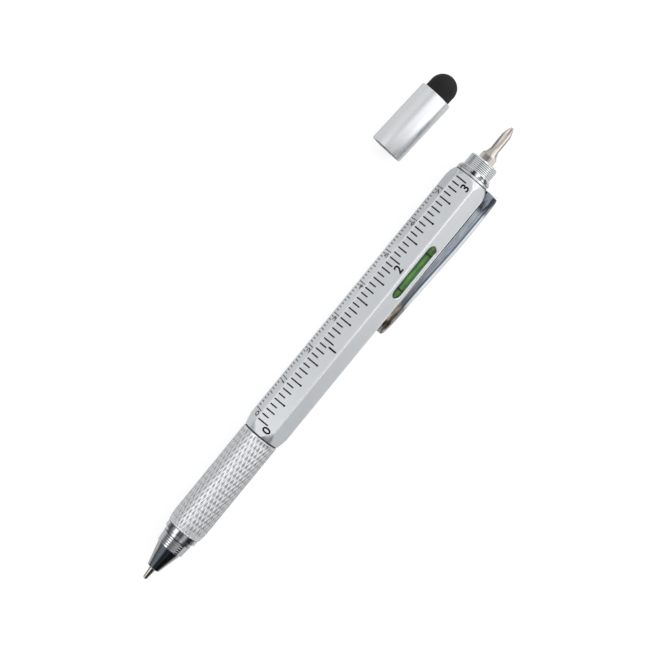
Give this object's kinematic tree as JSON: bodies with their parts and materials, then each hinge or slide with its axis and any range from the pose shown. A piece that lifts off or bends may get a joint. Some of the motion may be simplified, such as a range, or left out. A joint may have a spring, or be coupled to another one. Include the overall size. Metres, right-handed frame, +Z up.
{
  "type": "multi tool pen",
  "caption": "Twist ballpoint with a hexagonal ruler barrel, spirit level, spring clip, screwdriver bit in a threaded socket, and a stylus cap lying beside it.",
  "frame": {"origin": "bottom centre of the box round the pen and the cap, on the surface that they lie on", "axes": "+X along the pen from the writing tip to the bit, +Y towards the cap, +Z up"},
  "size_m": [0.1438, 0.034, 0.0106],
  "materials": {
    "anodised_aluminium": "satin anodised, fine grain",
    "knurled_aluminium": "diamond knurled, bright",
    "satin_silver": "satin silver lacquer",
    "chrome": "mirror chrome plate",
    "nickel": "nickel plate, slightly warm",
    "brass": "turned",
    "steel": "plain",
    "black_plastic": "moulded",
    "white_plastic": "moulded",
    "clear_acrylic": "clear, polished",
    "green_liquid": "green level liquid",
    "black_rubber": "matt, soft"
  },
  "bodies": {
    "barrel": {"barrel_shell": "anodised_aluminium", "barrel_bush": "black_plastic", "cam_sleeve": "brass", "vial_holder": "white_plastic", "vial_tube": "clear_acrylic", "vial_plug": "clear_acrylic", "vial_liquid": "green_liquid", "level_lens": "clear_acrylic", "bit_socket": "chrome", "bit_magnet": "steel", "clip_ring": "chrome"},
    "grip": {"grip_tube": "knurled_aluminium", "nose_cone": "chrome", "driver_tube": "brass", "snap_ring": "steel"},
    "refill": {"refill_ball": "steel", "refill_tip": "nickel", "refill_tube": "steel", "refill_plug": "white_plastic", "refill_carrier": "black_plastic", "cam_pin": "steel"},
    "clip": {"clip_arm": "chrome"},
    "bit": {"screwdriver_bit": "nickel"},
    "cap": {"cap_tube": "satin_silver", "stylus_dome": "black_rubber", "stylus_holder": "black_plastic"}
  },
  "joints": [
    {"name": "grip_twist", "type": "hinge", "parent": "barrel", "child": "grip", "pos_m": [-0.02622, -0.00825, 0.0053], "axis": [1, 0, 0], "range_deg": [0, 180]},
    {"name": "refill_slide", "type": "slide", "parent": "grip", "child": "refill", "axis": [1, 0, 0], "range_m": [0, 0.0055]},
    {"name": "clip_flex", "type": "hinge", "parent": "barrel", "child": "clip", "pos_m": [0.05548, -0.01538, 0.00253], "axis": [0, -0.3618, 0.9323], "range_deg": [0, 5], "stiffness_Nm_per_rad": 2.8},
    {"name": "bit_pull", "type": "slide", "parent": "barrel", "child": "bit", "axis": [1, 0, 0], "range_m": [0, 0.022]},
    {"name": "cap_slide", "type": "slide", "parent": "barrel", "child": "cap", "axis": [0.9979, -0.0654, 0], "range_m": [0, 0.03]}
  ],
  "couplings": [
    {"joint": "refill_slide", "follows": "grip_twist", "m_per_rad": 0.0017507}
  ]
}
